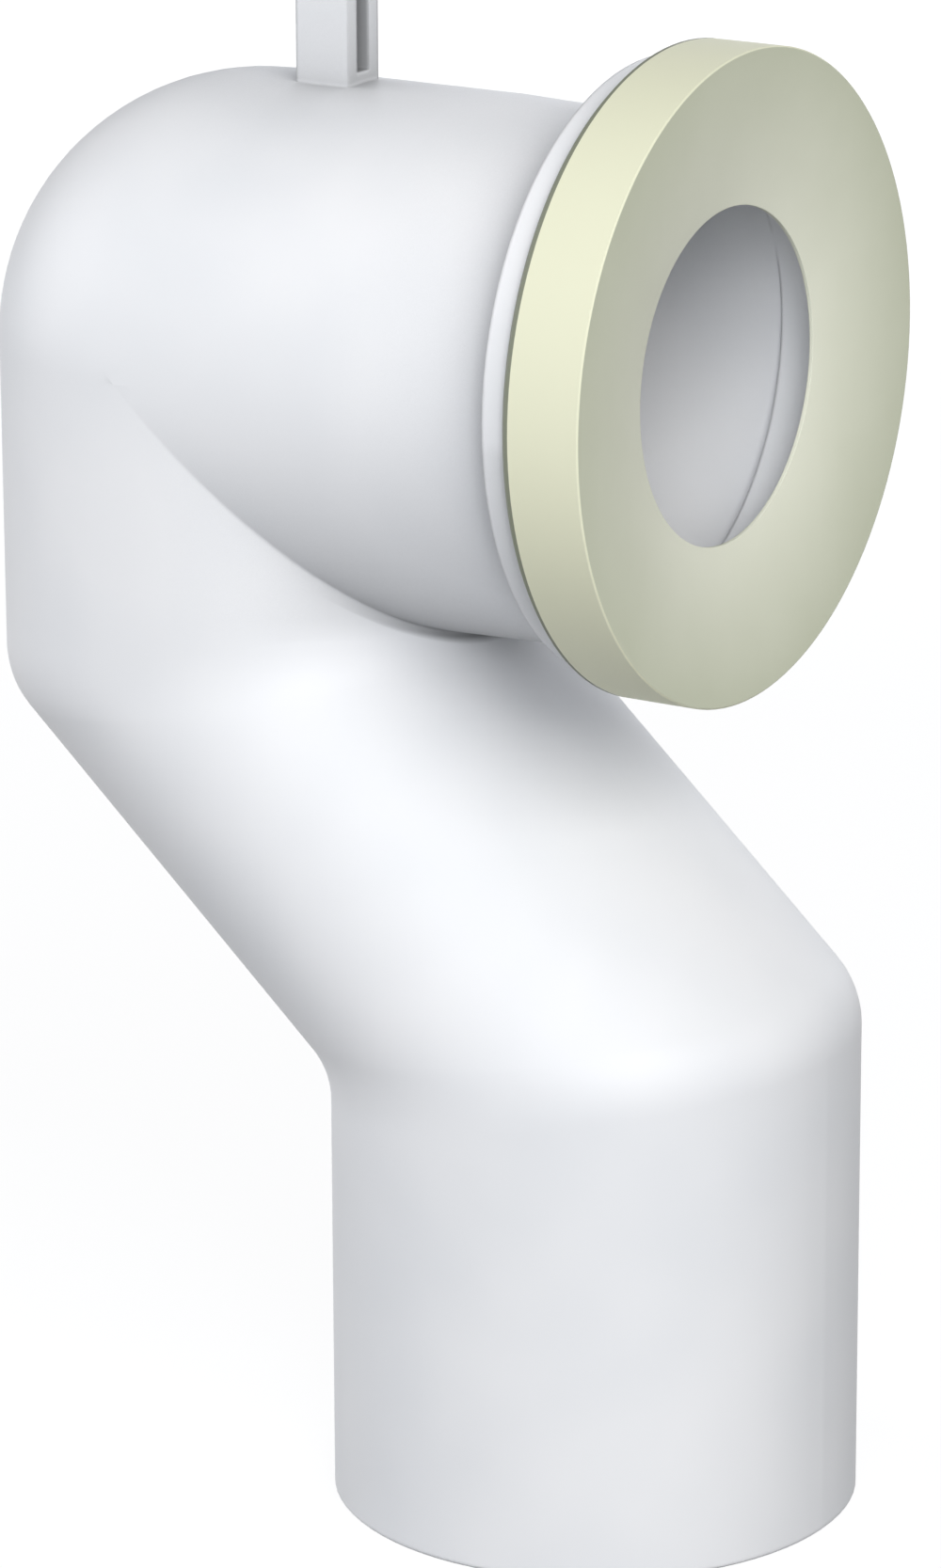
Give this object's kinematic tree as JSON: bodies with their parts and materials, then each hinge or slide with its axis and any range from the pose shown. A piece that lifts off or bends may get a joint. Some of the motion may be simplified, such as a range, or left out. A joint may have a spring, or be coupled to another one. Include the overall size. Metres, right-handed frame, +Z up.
{
  "type": "toilet pan connector",
  "caption": "Swan-neck 90 degree toilet pan connector: a white pipe from a rubber-sealed mouth through a slanted offset down to a plain soil-pipe spigot.",
  "frame": {"origin": "centre of the outlet spigot's end face", "axes": "+Z up along the outlet spigot's axis, +X out of the mouth that takes the pan's outlet, every pipe axis in the plane Y = 0"},
  "size_m": [0.1904, 0.1326, 0.3273],
  "materials": {
    "polypropylene": "satin as moulded",
    "seal_rubber": "smooth matt"
  },
  "bodies": {
    "root": {"moulding": "polypropylene", "seal": "seal_rubber"}
  },
  "joints": []
}
